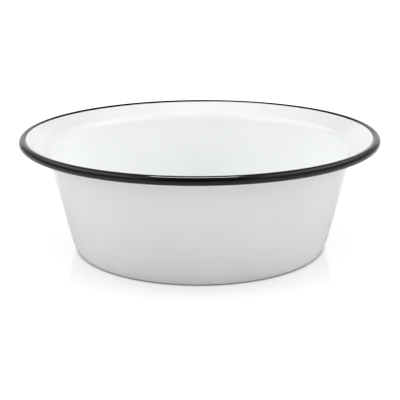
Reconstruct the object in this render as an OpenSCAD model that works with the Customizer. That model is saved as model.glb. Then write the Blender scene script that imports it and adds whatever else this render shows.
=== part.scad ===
// Enamelled steel basin with a conical wall, a sloping lip and a rolled black rim.
// The pressed sheet is drawn once, as the line through the middle of its thickness from the centre
// of the base to the cut edge inside the rim. The sheet and each enamel coat are bands along that
// line, turned about Z. The basin stands on Z = 0 with its axis on Z.

/* [Basin] */
// Diameter over the rolled rim
rim_d = 300; // [270:1:340]
// Height from the standing ring to the top of the rim
height = 97; // [80:0.5:120]
// Diameter of the base, where its corner starts to turn up
base_d = 208; // [180:1:216]
// Outside radius of the corner round the base
corner_r = 3; // [2:0.5:6]
// Outside radius of the heel, the slow curve between that corner and the straight wall
heel_r = 40; // [20:1:60]
// Slope of the sheet above level where the corner runs into the heel, in degrees
heel_slope = 62; // [50:1:66]

/* [Base panel] */
// Width of the flat ring that the basin stands on
ring_w = 8; // [4:0.5:14]
// How far the middle of the base is pressed up
panel_rise = 1.2; // [0.6:0.1:2.5]
// Radius of the two bends round the raised panel
panel_bend_r = 12; // [6:0.5:20]

/* [Lip and rim] */
// Width of the lip, from its corner with the wall to the outside of the rim
lip_w = 23; // [17:0.5:30]
// Slope of the lip above level, in degrees
lip_slope = 30; // [20:1:40]
// Radius of the bend between wall and lip
lip_bend_r = 10; // [5:0.5:16]
// Outside diameter of the rolled rim
curl_d = 7; // [5:0.1:9]
// Gap left between the rolled edge and the underside of the lip
seam_gap = 0.15; // [0.1:0.05:0.4]
// How far the black enamel laps from the rim onto the lip
black_lap = 0.7; // [0.2:0.1:3]

/* [Sheet and enamel] */
// Thickness of the pressed steel sheet
sheet_t = 0.6; // [0.4:0.05:0.8]
// Thickness of the dark ground coat
ground_t = 0.1; // [0.06:0.02:0.16]
// Thickness of the white cover coat
white_t = 0.2; // [0.1:0.05:0.3]
// Thickness of the black rim coat
black_t = 0.2; // [0.1:0.05:0.3]

/* [Hidden] */

// Facets of a full turn, and the widest turn in degrees between two points of a bend
$fn = 180;
bend_step = 10;

// Distance from the middle of the sheet to the surface of each layer
sheet_face = sheet_t / 2;
ground_face = sheet_face + ground_t;
white_face = ground_face + white_t;
black_face = ground_face + black_t;

// A station is a place on the sheet's line with the line's heading there, in degrees from level.
function ahead(heading) = [cos(heading), sin(heading)];
function upper(heading) = [-sin(heading), cos(heading)];

// Stations round a bend. A positive radius turns the line up, a negative one turns it down.
function bend(centre, radius, from, to) =
    let (steps = ceil(abs(to - from) / bend_step))
    [for (i = [0 : steps]) let (h = from + (to - from) * i / steps) [centre - radius * upper(h), h]];

function after_first(line) = [for (i = [1 : len(line) - 1]) line[i]];
function beside(line, distance) = [for (s = line) s[0] + distance * upper(s[1])];
function reversed(points) = [for (i = [len(points) - 1 : -1 : 0]) points[i]];

// Base: a flat ring to stand on, and a middle panel pressed up from it by two equal bends
ring_z = white_face;
panel_z = ring_z + panel_rise;
panel_turn = acos(1 - panel_rise / (2 * panel_bend_r));
ring_inner_r = base_d / 2 - ring_w;
panel_r = ring_inner_r - 2 * panel_bend_r * sin(panel_turn);
panel_top_centre = [panel_r, panel_z - panel_bend_r];
panel_foot_centre = [ring_inner_r, ring_z + panel_bend_r];

// Rim: the sheet rolls outward and down from the top of the lip
curl_centre = [(rim_d - curl_d) / 2, height - curl_d / 2];
curl_bend_r = curl_d / 2 - black_face;
lip_end = curl_centre + curl_bend_r * upper(lip_slope);
lip_corner_r = rim_d / 2 - lip_w;
lip_corner = lip_end - ahead(lip_slope) * (lip_end.x - lip_corner_r) / cos(lip_slope);
edge_turn = acos((curl_bend_r - white_face - seam_gap) / (curl_bend_r + black_face));
seam_set_back = (curl_bend_r + black_face) * sin(edge_turn);

// Wall: straight from the heel to the lip, so its lean follows from where those two are
corner_bend_r = corner_r - white_face;
corner_centre = [base_d / 2, corner_r];
heel_bend_r = heel_r - white_face;
heel_centre = corner_centre + (heel_r - corner_r) * upper(heel_slope);
wall_reach = lip_corner - heel_centre;
wall_lean = atan2(wall_reach.x, wall_reach.y) - asin(heel_bend_r / norm(wall_reach));
wall_heading = 90 - wall_lean;
lip_tangent = lip_bend_r * tan((wall_heading - lip_slope) / 2);
lip_bend_centre = lip_corner - lip_tangent * ahead(wall_heading) - lip_bend_r * upper(wall_heading);

// The sheet's line, in the stretches that the layers cover
body_line = concat(
    [[[0, panel_z], 0]],
    bend(panel_top_centre, -panel_bend_r, 0, -panel_turn),
    after_first(bend(panel_foot_centre, panel_bend_r, -panel_turn, 0)),
    bend(corner_centre, corner_bend_r, 0, heel_slope),
    after_first(bend(heel_centre, heel_bend_r, heel_slope, wall_heading)),
    bend(lip_bend_centre, -lip_bend_r, wall_heading, lip_slope)
);
curl_line = bend(curl_centre, -curl_bend_r, lip_slope, lip_slope - 360 + edge_turn);
colour_edge = [lip_end - black_lap * ahead(lip_slope), lip_slope];
seam = [lip_end - seam_set_back * ahead(lip_slope), lip_slope];
sheet_line = concat(body_line, curl_line);
inside_line = concat(body_line, [colour_edge]);
outside_line = concat(body_line, [seam]);
rim_line = concat([colour_edge], curl_line);

// A layer of the basin between two distances from the middle of the sheet
module layer(line, lower, higher) {
    rotate_extrude() polygon(concat(beside(line, lower), reversed(beside(line, higher))));
}

// The pressed and rolled sheet
module steel_shell() {
    color("#8b9094") layer(sheet_line, -sheet_face, sheet_face);
}

// Ground coat on the side of the sheet that faces into the basin and out of the rolled rim
module ground_coat_inside() {
    color("#232a38") layer(sheet_line, sheet_face, ground_face);
}

// Ground coat under the lip, down the wall and under the base
module ground_coat_outside() {
    color("#232a38") layer(outside_line, -ground_face, -sheet_face);
}

// White cover coat from the middle of the base up to the black edge
module white_enamel_inside() {
    color("#f3f4f3") layer(inside_line, ground_face, white_face);
}

// White cover coat under the lip, down the wall and under the base
module white_enamel_outside() {
    color("#eceeed") layer(outside_line, -white_face, -ground_face);
}

// Black coat over the rolled rim, butted against the white on the lip
module black_rim_enamel() {
    color("#141416") layer(rim_line, ground_face, black_face);
}

steel_shell();
ground_coat_inside();
ground_coat_outside();
white_enamel_inside();
white_enamel_outside();
black_rim_enamel();
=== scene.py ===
import math

import bmesh
import bpy
from mathutils import Matrix, Vector


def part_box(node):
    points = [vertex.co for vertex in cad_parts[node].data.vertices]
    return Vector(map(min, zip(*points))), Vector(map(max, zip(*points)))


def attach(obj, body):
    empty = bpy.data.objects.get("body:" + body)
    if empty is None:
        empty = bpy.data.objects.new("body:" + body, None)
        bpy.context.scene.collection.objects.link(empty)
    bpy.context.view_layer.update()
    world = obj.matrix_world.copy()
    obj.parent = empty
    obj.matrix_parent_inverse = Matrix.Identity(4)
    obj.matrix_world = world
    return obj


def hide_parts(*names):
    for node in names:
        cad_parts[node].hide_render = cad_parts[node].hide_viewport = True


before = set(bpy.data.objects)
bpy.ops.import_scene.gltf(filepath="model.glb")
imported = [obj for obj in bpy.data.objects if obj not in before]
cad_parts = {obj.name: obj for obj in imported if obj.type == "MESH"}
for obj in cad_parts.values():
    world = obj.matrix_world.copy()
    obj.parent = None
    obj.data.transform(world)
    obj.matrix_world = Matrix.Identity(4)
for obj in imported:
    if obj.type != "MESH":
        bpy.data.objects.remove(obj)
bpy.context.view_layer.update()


# Steel shell
# One disc of low-carbon sheet, drawn into a basin with its edge rolled outward into a hollow rim, then
# pickled. The enamel covers it but for its cut edge inside the rim, so its solid stays.
MM = 0.001


def linear(code):
    """An sRGB hex colour as linear red, green and blue, with an alpha of 1."""
    shares = [int(code[i:i + 2], 16) / 255 for i in (1, 3, 5)]
    return [s / 12.92 if s <= 0.04045 else ((s + 0.055) / 1.055) ** 2.4 for s in shares] + [1]


def add(tree, kind, inputs=None, **settings):
    """Adds a node with its settings. Each input takes a plain value, or a link from a socket."""
    made = tree.nodes.new(kind)
    for name, value in settings.items():
        setattr(made, name, value)
    for name, value in (inputs or {}).items():
        if isinstance(value, bpy.types.NodeSocket):
            tree.links.new(value, made.inputs[name])
        else:
            made.inputs[name].default_value = value
    return made


def finish_named(name):
    """A new material with its node tree, its shader and the socket of its Object coordinates."""
    material = bpy.data.materials.new(name)
    material.use_nodes = True
    tree = material.node_tree
    place = add(tree, "ShaderNodeTexCoord").outputs["Object"]
    return material, tree, tree.nodes["Principled BSDF"], place


# Acid pickling leaves sheet steel an even dull grey with a fine rolled grain.
pickled_steel, tree, shader, place = finish_named("pickled sheet steel")
steel_grain = 0.8 * MM
steel_smoothest = 0.42
steel_roughest = 0.6
grain = add(tree, "ShaderNodeTexNoise", {"Vector": place, "Scale": 1 / steel_grain, "Detail": 3.0})
tone = add(tree, "ShaderNodeValToRGB", {"Fac": grain.outputs["Fac"]})
tone.color_ramp.elements[0].color = linear("#7d8286")
tone.color_ramp.elements[1].color = linear("#9a9fa3")
dull = add(
    tree, "ShaderNodeMapRange",
    {"Value": grain.outputs["Fac"], "To Min": steel_smoothest, "To Max": steel_roughest},
)
tree.links.new(tone.outputs["Color"], shader.inputs["Base Color"])
tree.links.new(dull.outputs["Result"], shader.inputs["Roughness"])
shader.inputs["Metallic"].default_value = 1.0
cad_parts["steel_shell"].material_slots[0].material = pickled_steel


# Ground coats
# The first firing: a thin dark cobalt glass that grips the steel on both sides. The cover coats hide it,
# so its two solids stay.
# Fired ground coat is blue-black and half gloss, with a fine pebble from the gas that leaves the steel.
ground_coat, tree, shader, place = finish_named("fired ground coat")
pebble_pitch = 1.2 * MM
pebble_height = 0.01 * MM
ground_roughness = 0.3
pebble = add(tree, "ShaderNodeTexNoise", {"Vector": place, "Scale": 1 / pebble_pitch, "Detail": 2.0})
tone = add(tree, "ShaderNodeValToRGB", {"Fac": pebble.outputs["Fac"]})
tone.color_ramp.elements[0].color = linear("#1b2130")
tone.color_ramp.elements[1].color = linear("#2a3244")
bump = add(tree, "ShaderNodeBump", {"Height": pebble.outputs["Fac"], "Distance": pebble_height})
tree.links.new(tone.outputs["Color"], shader.inputs["Base Color"])
tree.links.new(bump.outputs["Normal"], shader.inputs["Normal"])
shader.inputs["Roughness"].default_value = ground_roughness
for name in ("ground_coat_inside", "ground_coat_outside"):
    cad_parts[name].material_slots[0].material = ground_coat


# White enamel inside
# The cover coat that the basin is used on: titanium white glass, slushed over the inside and fired.
# It runs from the middle of the base, over the pressed-up panel, up the wall and out along the lip to
# under the black.
rim_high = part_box("black_rim_enamel")[1]
rim_r = rim_high.x
rim_z = rim_high.z

# The sizes of the pressed sheet, which every coat follows. Its corner, heel and curl are measured on the
# outer face of the enamel, and its other bends on the middle of the sheet.
base_r = 104 * MM
corner_r = 3 * MM
heel_r = 40 * MM
heel_slope = math.radians(62)
ring_w = 8 * MM
panel_rise = 1.2 * MM
panel_bend_r = 12 * MM
lip_w = 23 * MM
lip_slope = math.radians(30)
lip_bend_r = 10 * MM
curl_r = 3.5 * MM

# How far the faces of the ground coat and of the cover coat lie from the middle of the sheet
ground_face = 0.4 * MM
enamel_face = 0.6 * MM

# How closely the section is stepped
bend_step = math.radians(4)
straight_step = 4 * MM


def ahead(heading):
    """The direction of a heading in the section, where x is the radius and y the height."""
    return Vector((math.cos(heading), math.sin(heading)))


def upper(heading):
    """The direction square to a heading, on the side that faces into the basin."""
    return Vector((-math.sin(heading), math.cos(heading)))


def bend(centre, radius, start, end):
    """Stations (place, heading) of the middle line round a bend, which turns up if radius is positive."""
    steps = math.ceil(abs(end - start) / bend_step)
    headings = [start + (end - start) * i / steps for i in range(steps + 1)]
    return [(centre - radius * upper(h), h) for h in headings]


def straight(start, end, heading):
    """Stations along a straight stretch, without its two ends."""
    steps = math.ceil((end - start).length / straight_step)
    return [(start.lerp(end, i / steps), heading) for i in range(1, steps)]


def beside(line, distance):
    """The points at one distance from a line of stations, on its upper side."""
    return [place + distance * upper(heading) for place, heading in line]


# The sheet's middle line, from the centre of the base to the top of the lip
ring_z = enamel_face
panel_z = ring_z + panel_rise
panel_turn = math.acos(1 - panel_rise / (2 * panel_bend_r))
ring_inner_r = base_r - ring_w
panel_r = ring_inner_r - 2 * panel_bend_r * math.sin(panel_turn)
curl_centre = Vector((rim_r - curl_r, rim_z - curl_r))
curl_bend_r = curl_r - enamel_face
lip_end = curl_centre + curl_bend_r * upper(lip_slope)
lip_corner = lip_end - ahead(lip_slope) * (lip_end.x - (rim_r - lip_w)) / math.cos(lip_slope)
corner_centre = Vector((base_r, corner_r))
corner_bend_r = corner_r - enamel_face
heel_centre = corner_centre + (heel_r - corner_r) * upper(heel_slope)
heel_bend_r = heel_r - enamel_face
wall_reach = lip_corner - heel_centre
wall_lean = math.atan2(wall_reach.x, wall_reach.y) - math.asin(heel_bend_r / wall_reach.length)
wall_heading = math.pi / 2 - wall_lean
lip_tangent = lip_bend_r * math.tan((wall_heading - lip_slope) / 2)
lip_bend_centre = lip_corner - lip_tangent * ahead(wall_heading) - lip_bend_r * upper(wall_heading)

panel_edge = bend(Vector((panel_r, panel_z - panel_bend_r)), -panel_bend_r, 0, -panel_turn)
panel_foot = bend(Vector((ring_inner_r, ring_z + panel_bend_r)), panel_bend_r, -panel_turn, 0)
base_corner = bend(corner_centre, corner_bend_r, 0, heel_slope)
heel = bend(heel_centre, heel_bend_r, heel_slope, wall_heading)
lip_bend = bend(lip_bend_centre, -lip_bend_r, wall_heading, lip_slope)
base_centre = Vector((0, panel_z))
body_line = (
    [(base_centre, 0)]
    + straight(base_centre, panel_edge[0][0], 0)
    + panel_edge
    + panel_foot[1:]
    + straight(panel_foot[-1][0], base_corner[0][0], 0)
    + base_corner
    + heel[1:]
    + straight(heel[-1][0], lip_bend[0][0], wall_heading)
    + lip_bend
)


def sweeping_tree():
    """Geometry nodes that sweep a closed section round the axis. Points with a lap of 1 belong to the edge
    of a banded coat, and wander up and down the lip as a brush does."""
    tree = bpy.data.node_groups.new("Swept coat", "GeometryNodeTree")
    for name, kind in (
        ("Section", "NodeSocketGeometry"),
        ("Section radius", "NodeSocketFloat"),
        ("Steps round", "NodeSocketInt"),
        ("Edge wander", "NodeSocketFloat"),
        ("Wander length", "NodeSocketFloat"),
        ("Wander start", "NodeSocketFloat"),
        ("Edge slope", "NodeSocketFloat"),
        ("Closing distance", "NodeSocketFloat"),
        ("Finish", "NodeSocketMaterial"),
    ):
        tree.interface.new_socket(name, in_out="INPUT", socket_type=kind)
    tree.interface.new_socket("Coat", in_out="OUTPUT", socket_type="NodeSocketGeometry")
    given = add(tree, "NodeGroupInput").outputs

    section = add(tree, "GeometryNodeMeshToCurve", {"Mesh": given["Section"]})
    path = add(
        tree, "GeometryNodeCurvePrimitiveCircle",
        {"Resolution": given["Steps round"], "Radius": given["Section radius"]},
    )
    swept = add(
        tree, "GeometryNodeCurveToMesh",
        {"Curve": path.outputs["Curve"], "Profile Curve": section.outputs["Curve"]},
    )

    # How far each edge point moves: a slow noise round the lip, from -1 to 1, times the wander
    position = add(tree, "GeometryNodeInputPosition").outputs["Position"]
    pitch = add(tree, "ShaderNodeMath", {0: 1.0, 1: given["Wander length"]}, operation="DIVIDE")
    noise = add(
        tree, "ShaderNodeTexNoise",
        {
            "Vector": position,
            "W": given["Wander start"],
            "Scale": pitch.outputs[0],
            "Detail": 2.0,
            "Roughness": 0.35,
        },
        noise_dimensions="4D",
    )
    swing = add(tree, "ShaderNodeMapRange", {"Value": noise.outputs[0], "To Min": -1.0, "To Max": 1.0})
    lap = add(tree, "GeometryNodeInputNamedAttribute", {"Name": "lap"}, data_type="FLOAT")
    reach = add(
        tree, "ShaderNodeMath", {0: lap.outputs["Attribute"], 1: given["Edge wander"]}, operation="MULTIPLY"
    )
    moved = add(tree, "ShaderNodeMath", {0: swing.outputs[0], 1: reach.outputs[0]}, operation="MULTIPLY")

    # The way up the lip at each point: outward by the cosine of the slope, and up by its sine
    level = add(tree, "ShaderNodeVectorMath", {0: position, 1: (1, 1, 0)}, operation="MULTIPLY")
    outward = add(tree, "ShaderNodeVectorMath", {0: level.outputs[0]}, operation="NORMALIZE")
    run = add(tree, "ShaderNodeMath", {0: given["Edge slope"]}, operation="COSINE")
    rise = add(tree, "ShaderNodeMath", {0: given["Edge slope"]}, operation="SINE")
    lift = add(tree, "ShaderNodeCombineXYZ", {"Z": rise.outputs[0]})
    up_lip = add(
        tree, "ShaderNodeVectorMath",
        {0: outward.outputs[0], 1: run.outputs[0], 2: lift.outputs[0]},
        operation="MULTIPLY_ADD",
    )
    shift = add(
        tree, "ShaderNodeVectorMath", {0: up_lip.outputs[0], "Scale": moved.outputs[0]}, operation="SCALE"
    )
    coat = add(
        tree, "GeometryNodeSetPosition", {"Geometry": swept.outputs["Mesh"], "Offset": shift.outputs[0]}
    )

    # The ends of the sections that lie on the axis become one point, which closes the coat there.
    closed = add(
        tree, "GeometryNodeMergeByDistance",
        {"Geometry": coat.outputs["Geometry"], "Distance": given["Closing distance"]},
    )
    real = add(tree, "GeometryNodeRealizeInstances", {"Geometry": closed.outputs["Geometry"]})
    dressed = add(
        tree, "GeometryNodeSetMaterial", {"Geometry": real.outputs["Geometry"], "Material": given["Finish"]}
    )
    add(tree, "NodeGroupOutput", {"Coat": dressed.outputs["Geometry"]})
    return tree


swept_coat = sweeping_tree()
steps_round = 288
closing_distance = 0.002 * MM
crease = math.radians(35)


def swept_piece(name, section, finish, laps=None, banding=None):
    """A closed coat: the section swept round the axis, as a plain mesh with outward faces and sharp edges.
    A coat with a banded edge gives the lap of each point, and the tree's inputs for that edge."""
    count = len(section)
    section_r = rim_r / 2
    points = bpy.data.meshes.new(name)
    points.from_pydata(
        [(p.x - section_r, -p.y, 0) for p in section], [(i, (i + 1) % count) for i in range(count)], []
    )
    lap = points.attributes.new("lap", "FLOAT", "POINT")
    lap.data.foreach_set("value", laps or [0.0] * count)
    drawn = bpy.data.objects.new(name + "_section", points)
    bpy.context.scene.collection.objects.link(drawn)
    modifier = drawn.modifiers.new("Swept coat", "NODES")
    modifier.node_group = swept_coat
    # An edge that doesn't wander still needs a wander length, as the tree divides by it.
    values = {
        "Section radius": section_r,
        "Steps round": steps_round,
        "Wander length": 1.0,
        "Closing distance": closing_distance,
        "Finish": finish,
        **(banding or {}),
    }
    for socket in swept_coat.interface.items_tree:
        if socket.in_out == "INPUT" and socket.name in values:
            modifier[socket.identifier] = values[socket.name]
    evaluated = drawn.evaluated_get(bpy.context.evaluated_depsgraph_get())
    mesh = bpy.data.meshes.new_from_object(evaluated)
    drawn.modifiers.remove(modifier)
    bpy.data.objects.remove(drawn)

    # A section that starts on the axis leaves one edge without faces there, which is deleted.
    shell = bmesh.new()
    shell.from_mesh(mesh)
    bmesh.ops.delete(shell, geom=[edge for edge in shell.edges if edge.is_wire], context="EDGES")
    bmesh.ops.recalc_face_normals(shell, faces=shell.faces)
    for face in shell.faces:
        face.smooth = True
    shell.to_mesh(mesh)
    shell.free()
    mesh.set_sharp_from_angle(angle=crease)
    piece = bpy.data.objects.new(name, mesh)
    bpy.context.scene.collection.objects.link(piece)
    return piece


enamel_ior = 1.52


# Titanium white enamel is a bright, faintly cool white with a hard gloss. Firing leaves a shallow orange
# peel in it, and slow changes of thickness shade it by about one part in a hundred. The soft light hardly
# shows in its gloss, so its specular level is below that of clean glass.
def white_enamel(name, thin_tone, thick_tone):
    """The fired white, between its tone where the coat is thin and its tone where the coat is thick."""
    material, tree, shader, place = finish_named(name)
    peel_pitch = 7 * MM
    peel_height = 0.006 * MM
    cloud_pitch = 55 * MM
    thin_share = 0.3
    thick_share = 0.7
    white_smoothest = 0.07
    white_roughest = 0.13
    white_specular = 0.33
    peel = add(tree, "ShaderNodeTexNoise", {"Vector": place, "Scale": 1 / peel_pitch, "Detail": 1.0})
    cloud = add(tree, "ShaderNodeTexNoise", {"Vector": place, "Scale": 1 / cloud_pitch, "Detail": 2.0})
    tone = add(tree, "ShaderNodeValToRGB", {"Fac": cloud.outputs["Fac"]})
    tone.color_ramp.elements[0].position = thin_share
    tone.color_ramp.elements[0].color = linear(thin_tone)
    tone.color_ramp.elements[1].position = thick_share
    tone.color_ramp.elements[1].color = linear(thick_tone)
    gloss = add(
        tree, "ShaderNodeMapRange",
        {"Value": cloud.outputs["Fac"], "To Min": white_smoothest, "To Max": white_roughest},
    )
    bump = add(tree, "ShaderNodeBump", {"Height": peel.outputs["Fac"], "Distance": peel_height})
    tree.links.new(tone.outputs["Color"], shader.inputs["Base Color"])
    tree.links.new(gloss.outputs["Result"], shader.inputs["Roughness"])
    tree.links.new(bump.outputs["Normal"], shader.inputs["Normal"])
    shader.inputs["IOR"].default_value = enamel_ior
    shader.inputs["Specular IOR Level"].default_value = white_specular
    return material


inside_line = body_line + straight(lip_bend[-1][0], lip_end, lip_slope) + [(lip_end, lip_slope)]
inside_section = beside(inside_line, enamel_face) + beside(inside_line, ground_face)[::-1]
inside_white = white_enamel("fired white enamel inside", "#f6f8f7", "#f9fbfa")
inside_coat = swept_piece("inside_white_coat", inside_section, inside_white)
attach(inside_coat, "root")
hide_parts("white_enamel_inside")


# White enamel outside
# The same cover coat on the other side of the sheet: under the base, up the wall and under the lip, where
# it ends at the seam with the rolled rim.
seam_gap = 0.15 * MM
edge_turn = math.acos((curl_bend_r - enamel_face - seam_gap) / (curl_bend_r + enamel_face))
seam = lip_end - (curl_bend_r + enamel_face) * math.sin(edge_turn) * ahead(lip_slope)
outside_line = body_line + straight(lip_bend[-1][0], seam, lip_slope) + [(seam, lip_slope)]
outside_section = beside(outside_line, -enamel_face) + beside(outside_line, -ground_face)[::-1]
# The outside gets one dip where the inside gets two, so a trace of the dark ground greys it. Its tones
# are set darker than that alone makes them: the rest is painted shade, which keeps the outer wall below
# the inside under the same lights.
outside_white = white_enamel("fired white enamel outside", "#e3e5e4", "#e6e8e7")
outside_coat = swept_piece("outside_white_coat", outside_section, outside_white)
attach(outside_coat, "root")
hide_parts("white_enamel_outside")


# Black rim enamel
# The last firing: a black coat banded round the rolled rim by hand against a wheel, so its edge on the lip
# wanders a little. There it laps over the white with a round shoulder, and it ends with the sheet in the
# seam.
black_lap = 1.0 * MM
lap_proud = 0.05 * MM
lap_sunk = 0.04 * MM
edge_wander = 1.5 * MM
wander_length = 160 * MM
# Where the noise starts, which fixes the wander as a seed does
wander_start = 49.3
curl_line = bend(curl_centre, -curl_bend_r, lip_slope, lip_slope - 2 * math.pi + edge_turn)

# Black enamel is dark glass: nothing shows of its body colour but the gloss on it.
black_enamel, tree, shader, place = finish_named("fired black enamel")
black_peel_pitch = 4 * MM
black_peel_height = 0.004 * MM
black_smoothest = 0.06
black_roughest = 0.1
black_specular = 0.25
peel = add(tree, "ShaderNodeTexNoise", {"Vector": place, "Scale": 1 / black_peel_pitch, "Detail": 1.0})
tone = add(tree, "ShaderNodeValToRGB", {"Fac": peel.outputs["Fac"]})
tone.color_ramp.elements[0].color = linear("#060607")
tone.color_ramp.elements[1].color = linear("#0c0c0e")
gloss = add(
    tree, "ShaderNodeMapRange",
    {"Value": peel.outputs["Fac"], "To Min": black_smoothest, "To Max": black_roughest},
)
bump = add(tree, "ShaderNodeBump", {"Height": peel.outputs["Fac"], "Distance": black_peel_height})
tree.links.new(tone.outputs["Color"], shader.inputs["Base Color"])
tree.links.new(gloss.outputs["Result"], shader.inputs["Roughness"])
tree.links.new(bump.outputs["Normal"], shader.inputs["Normal"])
shader.inputs["IOR"].default_value = enamel_ior
shader.inputs["Specular IOR Level"].default_value = black_specular

# The shoulder is a quarter round from just below the white surface, and what stands proud of the white
# there fades out by the top of the rim.
shoulder_r = lap_proud + lap_sunk
shoulder_turns = [math.radians(a) for a in (0, 30, 60, 90)]
lap_edge = lip_end - black_lap * ahead(lip_slope)
shoulder = [
    lap_edge
    + shoulder_r * (1 - math.cos(a)) * ahead(lip_slope)
    + (enamel_face - lap_sunk + shoulder_r * math.sin(a)) * upper(lip_slope)
    for a in shoulder_turns
]
outer = [
    place + (enamel_face + lap_proud * max(0, heading / lip_slope)) * upper(heading)
    for place, heading in curl_line
]
white_edge = lip_end + (enamel_face - lap_sunk) * upper(lip_slope)
inner = [white_edge] + beside(curl_line, ground_face)
rim_section = shoulder + outer + inner[::-1]
rim_laps = [1.0] * len(shoulder) + [0.0] * (len(outer) + len(inner))
banded_edge = {
    "Edge wander": edge_wander,
    "Wander length": wander_length,
    "Wander start": wander_start,
    "Edge slope": lip_slope,
}
rim_coat = swept_piece("black_rim_coat", rim_section, black_enamel, rim_laps, banded_edge)
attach(rim_coat, "root")
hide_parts("black_rim_enamel")


# Floor
# A sheet of gloss white acrylic, which gives the faint mirror image under the basin. It is open under the
# base and clear from below, so that the underside is lit and shows.
floor_r = 3.0
floor_drop = 0.05 * MM
turns = [2 * math.pi * i / steps_round for i in range(steps_round)]
nexts = [(i + 1) % steps_round for i in range(steps_round)]
floor_mesh = bpy.data.meshes.new("floor")
floor_mesh.from_pydata(
    [(r * math.cos(a), r * math.sin(a), -floor_drop) for r in (base_r, floor_r) for a in turns],
    [],
    [(i, i + steps_round, after + steps_round, after) for i, after in enumerate(nexts)],
)
floor = bpy.data.objects.new("floor", floor_mesh)
bpy.context.scene.collection.objects.link(floor)

# The camera sees most of the sheet's white as a glow. The glow is gone at the contact line and weaker near
# the basin than far out, which paints shade round the base on top of the shadow the lights cast there. The
# sheet's index is above that of plain acrylic, about 1.49, so that the mirror image is as strong as the
# photographed one.
acrylic, tree, shader, place = finish_named("gloss white acrylic")
acrylic_roughness = 0.07
acrylic_ior = 2.2
contact_end = base_r + 0.5 * MM
near_start = base_r + 5 * MM
near_glow = 0.52
far_start = 260 * MM
far_glow = 0.85
front_stretch = 1.2
seen_by_camera = add(tree, "ShaderNodeLightPath").outputs["Is Camera Ray"]
from_axis = add(tree, "ShaderNodeVectorMath", {0: place}, operation="LENGTH").outputs["Value"]
stretched = add(tree, "ShaderNodeVectorMath", {0: place, 1: (1, front_stretch, 1)}, operation="MULTIPLY")
away = add(tree, "ShaderNodeVectorMath", {0: stretched.outputs["Vector"]}, operation="LENGTH")
# The glow rises from near_glow beside the basin to far_glow far out, so the floor near the base is painted
# darker: painted shade.
fading = add(
    tree, "ShaderNodeMapRange",
    {
        "Value": away.outputs["Value"],
        "From Min": near_start,
        "From Max": far_start,
        "To Min": near_glow,
        "To Max": far_glow,
    },
    interpolation_type="SMOOTHSTEP",
)
# No glow at the contact line and a ramp up beyond it: a painted dark ring at the base, a painted contact
# shadow.
glow = add(
    tree, "ShaderNodeMapRange",
    {
        "Value": from_axis,
        "From Min": contact_end,
        "From Max": near_start,
        "To Max": fading.outputs["Result"],
    },
    interpolation_type="SMOOTHSTEP",
)

# What the basin sees of the sheet: white, and lit a little from below some way out
table_full = 300 * MM
table_glow = 0.38
table = add(
    tree, "ShaderNodeMapRange",
    {"Value": from_axis, "From Min": base_r, "From Max": table_full, "To Max": table_glow},
    interpolation_type="SMOOTHSTEP",
)
shown_glow = add(
    tree, "ShaderNodeMix",
    {"Factor": seen_by_camera, "A": table.outputs["Result"], "B": glow.outputs["Result"]},
)
sheet_white = add(
    tree, "ShaderNodeMixRGB",
    {"Fac": seen_by_camera, "Color1": linear("#eaeaea"), "Color2": linear("#a2a2a2")},
)
tree.links.new(sheet_white.outputs["Color"], shader.inputs["Base Color"])
tree.links.new(shown_glow.outputs["Result"], shader.inputs["Emission Strength"])
shader.inputs["Emission Color"].default_value = linear("#ffffff")
shader.inputs["Roughness"].default_value = acrylic_roughness
shader.inputs["IOR"].default_value = acrylic_ior
under = add(tree, "ShaderNodeNewGeometry").outputs["Backfacing"]
clear = add(tree, "ShaderNodeBsdfTransparent")
one_way = add(
    tree, "ShaderNodeMixShader", {0: under, 1: shader.outputs["BSDF"], 2: clear.outputs["BSDF"]}
)
tree.links.new(one_way.outputs["Shader"], tree.nodes["Material Output"].inputs["Surface"])
floor_mesh.materials.append(acrylic)


# Light
# A white room with a soft box high on each side, a weaker one overhead and a backdrop behind. It is dim all
# round below them, and darkest where the camera stands.
world = bpy.data.worlds.new("white studio")
world.use_nodes = True
bpy.context.scene.world = world
tree = world.node_tree
room = tree.nodes["Background"]
room.inputs["Color"].default_value = linear("#ffffff")
toward = add(tree, "ShaderNodeTexCoord").outputs["Generated"]
axes = add(tree, "ShaderNodeSeparateXYZ", {"Vector": toward}).outputs

# Where each part of the room starts and where it is full, on the unit direction's own X, Y or Z
low_level = 0.42
backdrop_level = 0.95
backdrop_start = 0.8
backdrop_full = 0.92
low_behind = add(
    tree, "ShaderNodeMapRange",
    {
        "Value": axes["Y"],
        "From Min": backdrop_start,
        "From Max": backdrop_full,
        "To Min": low_level,
        "To Max": backdrop_level,
    },
    interpolation_type="SMOOTHSTEP",
)
front_level = 0.04
front_start = -0.78
front_full = -0.92
low = add(
    tree, "ShaderNodeMapRange",
    {
        "Value": axes["Y"],
        "From Min": front_start,
        "From Max": front_full,
        "To Min": low_behind.outputs["Result"],
        "To Max": front_level,
    },
    interpolation_type="SMOOTHSTEP",
)
roof_level = 0.78
roof_edge_level = 0.03
roof_back_start = 0.2
roof_back_end = 0.5
roof_behind = add(
    tree, "ShaderNodeMapRange",
    {
        "Value": axes["Y"],
        "From Min": roof_back_start,
        "From Max": roof_back_end,
        "To Min": roof_level,
        "To Max": roof_edge_level,
    },
    interpolation_type="SMOOTHSTEP",
)
roof_front_start = -0.15
roof_front_end = -0.6
roof = add(
    tree, "ShaderNodeMapRange",
    {
        "Value": axes["Y"],
        "From Min": roof_front_start,
        "From Max": roof_front_end,
        "To Min": roof_behind.outputs["Result"],
        "To Max": roof_edge_level,
    },
    interpolation_type="SMOOTHSTEP",
)
side_level = 1.72
side_start = 0.35
side_full = 0.6
aside = add(tree, "ShaderNodeMath", {0: axes["X"]}, operation="ABSOLUTE")
sides = add(
    tree, "ShaderNodeMapRange",
    {"Value": aside.outputs[0], "From Min": side_start, "From Max": side_full, "To Max": side_level},
    interpolation_type="SMOOTHSTEP",
)
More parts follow.
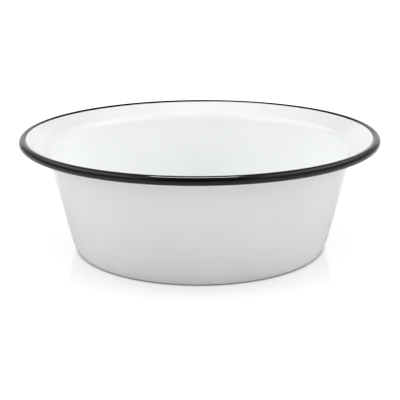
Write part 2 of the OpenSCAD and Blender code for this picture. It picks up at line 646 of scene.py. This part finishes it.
high = add(tree, "ShaderNodeMath", {0: roof.outputs["Result"], 1: sides.outputs["Result"]}, operation="ADD")
high_start = 0.35
high_full = 0.6
level = add(
    tree, "ShaderNodeMapRange",
    {
        "Value": axes["Z"],
        "From Min": high_start,
        "From Max": high_full,
        "To Min": low.outputs["Result"],
        "To Max": high.outputs[0],
    },
    interpolation_type="SMOOTHSTEP",
)

# Below the floor's level the room is evenly bright, for the underside. The camera sees it white all round.
below_level = 0.9
below_full = -0.05
below_end = -0.02
round_about = add(
    tree, "ShaderNodeMapRange",
    {
        "Value": axes["Z"],
        "From Min": below_full,
        "From Max": below_end,
        "To Min": below_level,
        "To Max": level.outputs["Result"],
    },
)
seen_by_camera = add(tree, "ShaderNodeLightPath").outputs["Is Camera Ray"]
shown = add(
    tree, "ShaderNodeMix", {"Factor": seen_by_camera, "A": round_about.outputs["Result"], "B": 1.0}
)
tree.links.new(shown.outputs["Result"], room.inputs["Strength"])

# Two soft fills, one on each side of the camera, light the front wall. Mirror images don't show them.
fill_swing = math.radians(45)
fill_w = 1.4
fill_h = 1.0
fill_away = 1.9
fill_z = 0.85
fill_power = 8.2
for side in (-1, 1):
    fill_light = bpy.data.lights.new("front fill", "AREA")
    fill_light.shape = "RECTANGLE"
    fill_light.size = fill_w
    fill_light.size_y = fill_h
    fill_light.energy = fill_power
    fill = bpy.data.objects.new("front fill", fill_light)
    fill.matrix_world = (
        Matrix.Rotation(side * fill_swing, 4, "Z")
        @ Matrix.Translation((0, -fill_away, fill_z))
        @ Matrix.Rotation(math.radians(90), 4, "X")
    )
    fill.visible_glossy = False
    bpy.context.scene.collection.objects.link(fill)

# A strip lamp overhead, linked to the black rim alone, draws the bright line along the top of its gloss.
strip_length = 0.72
strip_w = 0.2
strip_place = (-0.05, 0.14, 1.6)
strip_power = 22.0
strip_light = bpy.data.lights.new("rim strip", "AREA")
strip_light.shape = "RECTANGLE"
strip_light.size = strip_length
strip_light.size_y = strip_w
strip_light.energy = strip_power
strip = bpy.data.objects.new("rim strip", strip_light)
strip.matrix_world = Matrix.Translation(strip_place)
bpy.context.scene.collection.objects.link(strip)
lit_by_strip = bpy.data.collections.new("lit by the rim strip")
lit_by_strip.objects.link(rim_coat)
strip.light_linking.receiver_collection = lit_by_strip


# Camera
# An 85 mm lens on a full frame, a little above the rim, at the place, dip and roll that were fitted to the
# photograph.
camera_place = (0, -0.77884, 0.26566)
camera_dip = math.radians(16.375)
camera_roll = math.radians(-0.2755)
camera_data = bpy.data.cameras.new("camera")
camera_data.sensor_width = 36.0
camera_data.lens = 85.09
camera = bpy.data.objects.new("camera", camera_data)
camera.matrix_world = (
    Matrix.Translation(camera_place)
    @ Matrix.Rotation(math.radians(90) - camera_dip, 4, "X")
    @ Matrix.Rotation(camera_roll, 4, "Z")
)
bpy.context.scene.collection.objects.link(camera)
bpy.context.scene.camera = camera
bpy.context.scene.view_settings.view_transform = "Standard"
